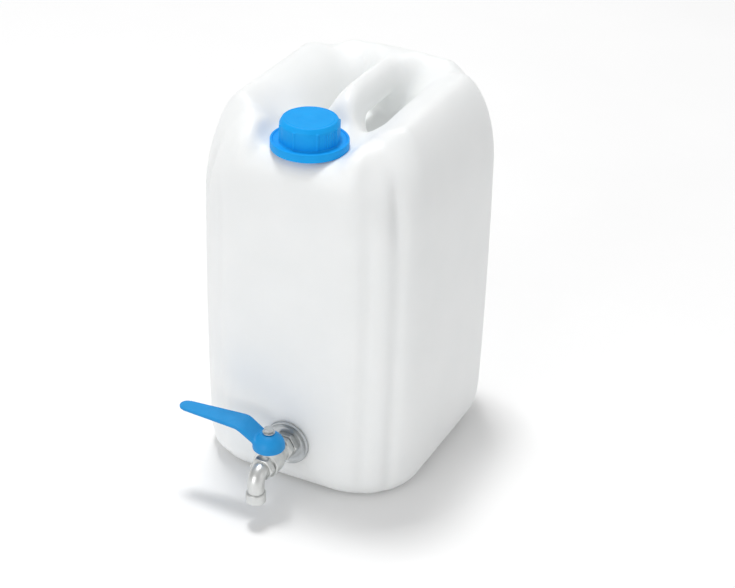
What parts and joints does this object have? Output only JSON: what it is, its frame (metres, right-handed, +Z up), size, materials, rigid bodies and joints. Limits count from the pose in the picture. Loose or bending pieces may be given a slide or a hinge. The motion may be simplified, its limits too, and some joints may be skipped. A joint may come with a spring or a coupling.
{
  "type": "jerry can",
  "caption": "Upright rounded plastic jerry can with a moulded carrying handle, a screw cap and a low lever ball tap.",
  "frame": {"origin": "centre of the can's base, on the surface it stands on", "axes": "+Z up; the tap and the neck are towards -Y; X across the can"},
  "size_m": [0.248, 0.3584, 0.411],
  "materials": {
    "milky_plastic": "milky natural polyethylene, softly translucent, satin",
    "blue_plastic": "bright blue moulded polyethylene, semi-gloss",
    "foam": "closed-cell foam",
    "black_rubber": "smooth black rubber",
    "satin_nickel": "satin nickel plate on brass",
    "bright_steel": "bright stainless steel",
    "polished_chrome": "polished chrome",
    "white_ptfe": "white seat plastic",
    "blue_paint": "blue paint on a casting"
  },
  "bodies": {
    "can": {"can_body": "milky_plastic", "tamper_ring": "blue_plastic", "outer_gasket": "black_rubber", "inner_gasket": "black_rubber", "backnut": "satin_nickel", "rosette": "bright_steel", "locknut": "satin_nickel", "valve_body": "satin_nickel", "rear_seat": "white_ptfe", "front_seat": "white_ptfe", "seat_retainer": "satin_nickel", "stem_thrust_washer": "white_ptfe", "stem_packing": "white_ptfe", "gland_nut": "satin_nickel", "spout_gasket": "black_rubber", "spout_nut": "satin_nickel", "spout": "satin_nickel", "outlet_collar": "satin_nickel", "outlet_strainer": "bright_steel"},
    "cap_carrier": {"cap_liner": "foam"},
    "cap": {"screw_cap": "blue_plastic"},
    "tap_handle": {"ball": "polished_chrome", "stem": "bright_steel", "lever": "blue_paint", "lever_washer": "bright_steel", "lever_nut": "bright_steel"}
  },
  "joints": [
    {"name": "cap_rise", "type": "slide", "parent": "can", "child": "cap_carrier", "axis": [0, 0, 1], "range_m": [0, 0.008]},
    {"name": "cap_turn", "type": "hinge", "parent": "cap_carrier", "child": "cap", "pos_m": [0, -0.0945, 0.4], "axis": [0, 0, 1], "range_deg": [0, 575]},
    {"name": "lever_turn", "type": "hinge", "parent": "can", "child": "tap_handle", "pos_m": [0.002, -0.181, 0.06], "axis": [0, 0, 1], "range_deg": [0, 90]}
  ],
  "couplings": [
    {"joint": "cap_rise", "follows": "cap_turn", "m_per_rad": 0.00079577}
  ]
}
